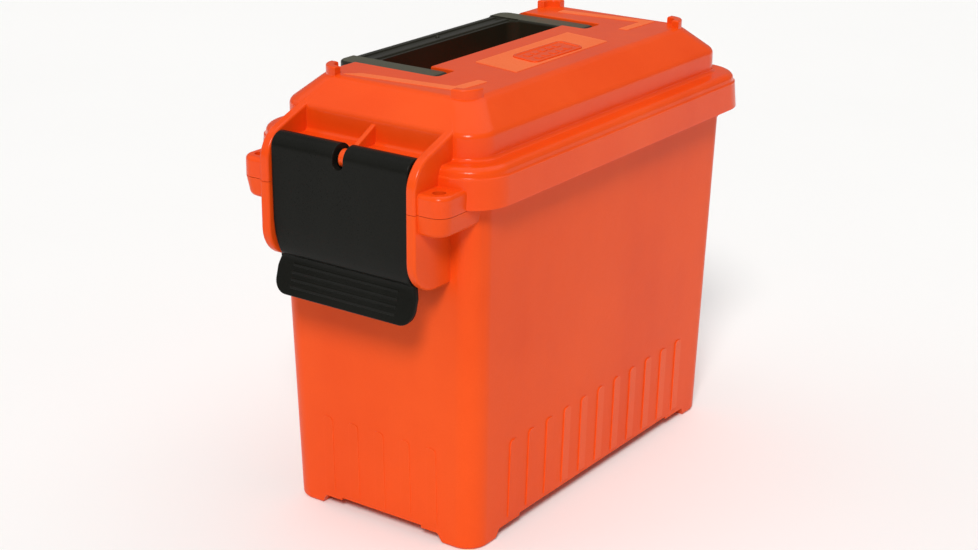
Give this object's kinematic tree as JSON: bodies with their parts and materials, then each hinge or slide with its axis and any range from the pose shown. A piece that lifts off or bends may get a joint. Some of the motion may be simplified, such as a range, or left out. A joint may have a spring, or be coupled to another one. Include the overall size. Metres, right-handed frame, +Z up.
{
  "type": "utility dry box",
  "caption": "Tall moulded plastic box with a hinged, sealed lid, a wide front latch between flanges, padlock ears, corner feet and a folding bail handle sunk into the lid.",
  "frame": {"origin": "middle of the whole box's footprint, on the plane of the feet", "axes": "+X across the width towards the lid's label side, -Y towards the latch, +Y towards the hinge, +Z up"},
  "size_m": [0.135, 0.267, 0.2155],
  "materials": {
    "orange_plastic": "satin injection-moulded polypropylene, safety orange",
    "black_plastic": "fine-textured black moulded plastic",
    "seal_rubber": "matt black elastomer cord",
    "pin_steel": "drawn steel wire"
  },
  "bodies": {
    "tub": {"body_tub": "orange_plastic", "hinge_pin_left": "pin_steel", "hinge_pin_right": "pin_steel"},
    "lid": {"lid_shell": "orange_plastic", "lid_seal": "seal_rubber"},
    "latch": {"front_latch": "black_plastic"},
    "handle": {"carry_handle": "black_plastic"}
  },
  "joints": [
    {"name": "lid_hinge", "type": "hinge", "parent": "tub", "child": "lid", "pos_m": [0, 0.12847, 0.1665], "axis": [-1, 0, 0], "range_deg": [0, 110]},
    {"name": "latch_hinge", "type": "hinge", "parent": "lid", "child": "latch", "pos_m": [0, -0.12497, 0.186], "axis": [-1, 0, 0], "range_deg": [0, 120]},
    {"name": "handle_hinge", "type": "hinge", "parent": "lid", "child": "handle", "pos_m": [0, 0.00235, 0.2055], "axis": [0, 1, 0], "range_deg": [0, 90]}
  ]
}
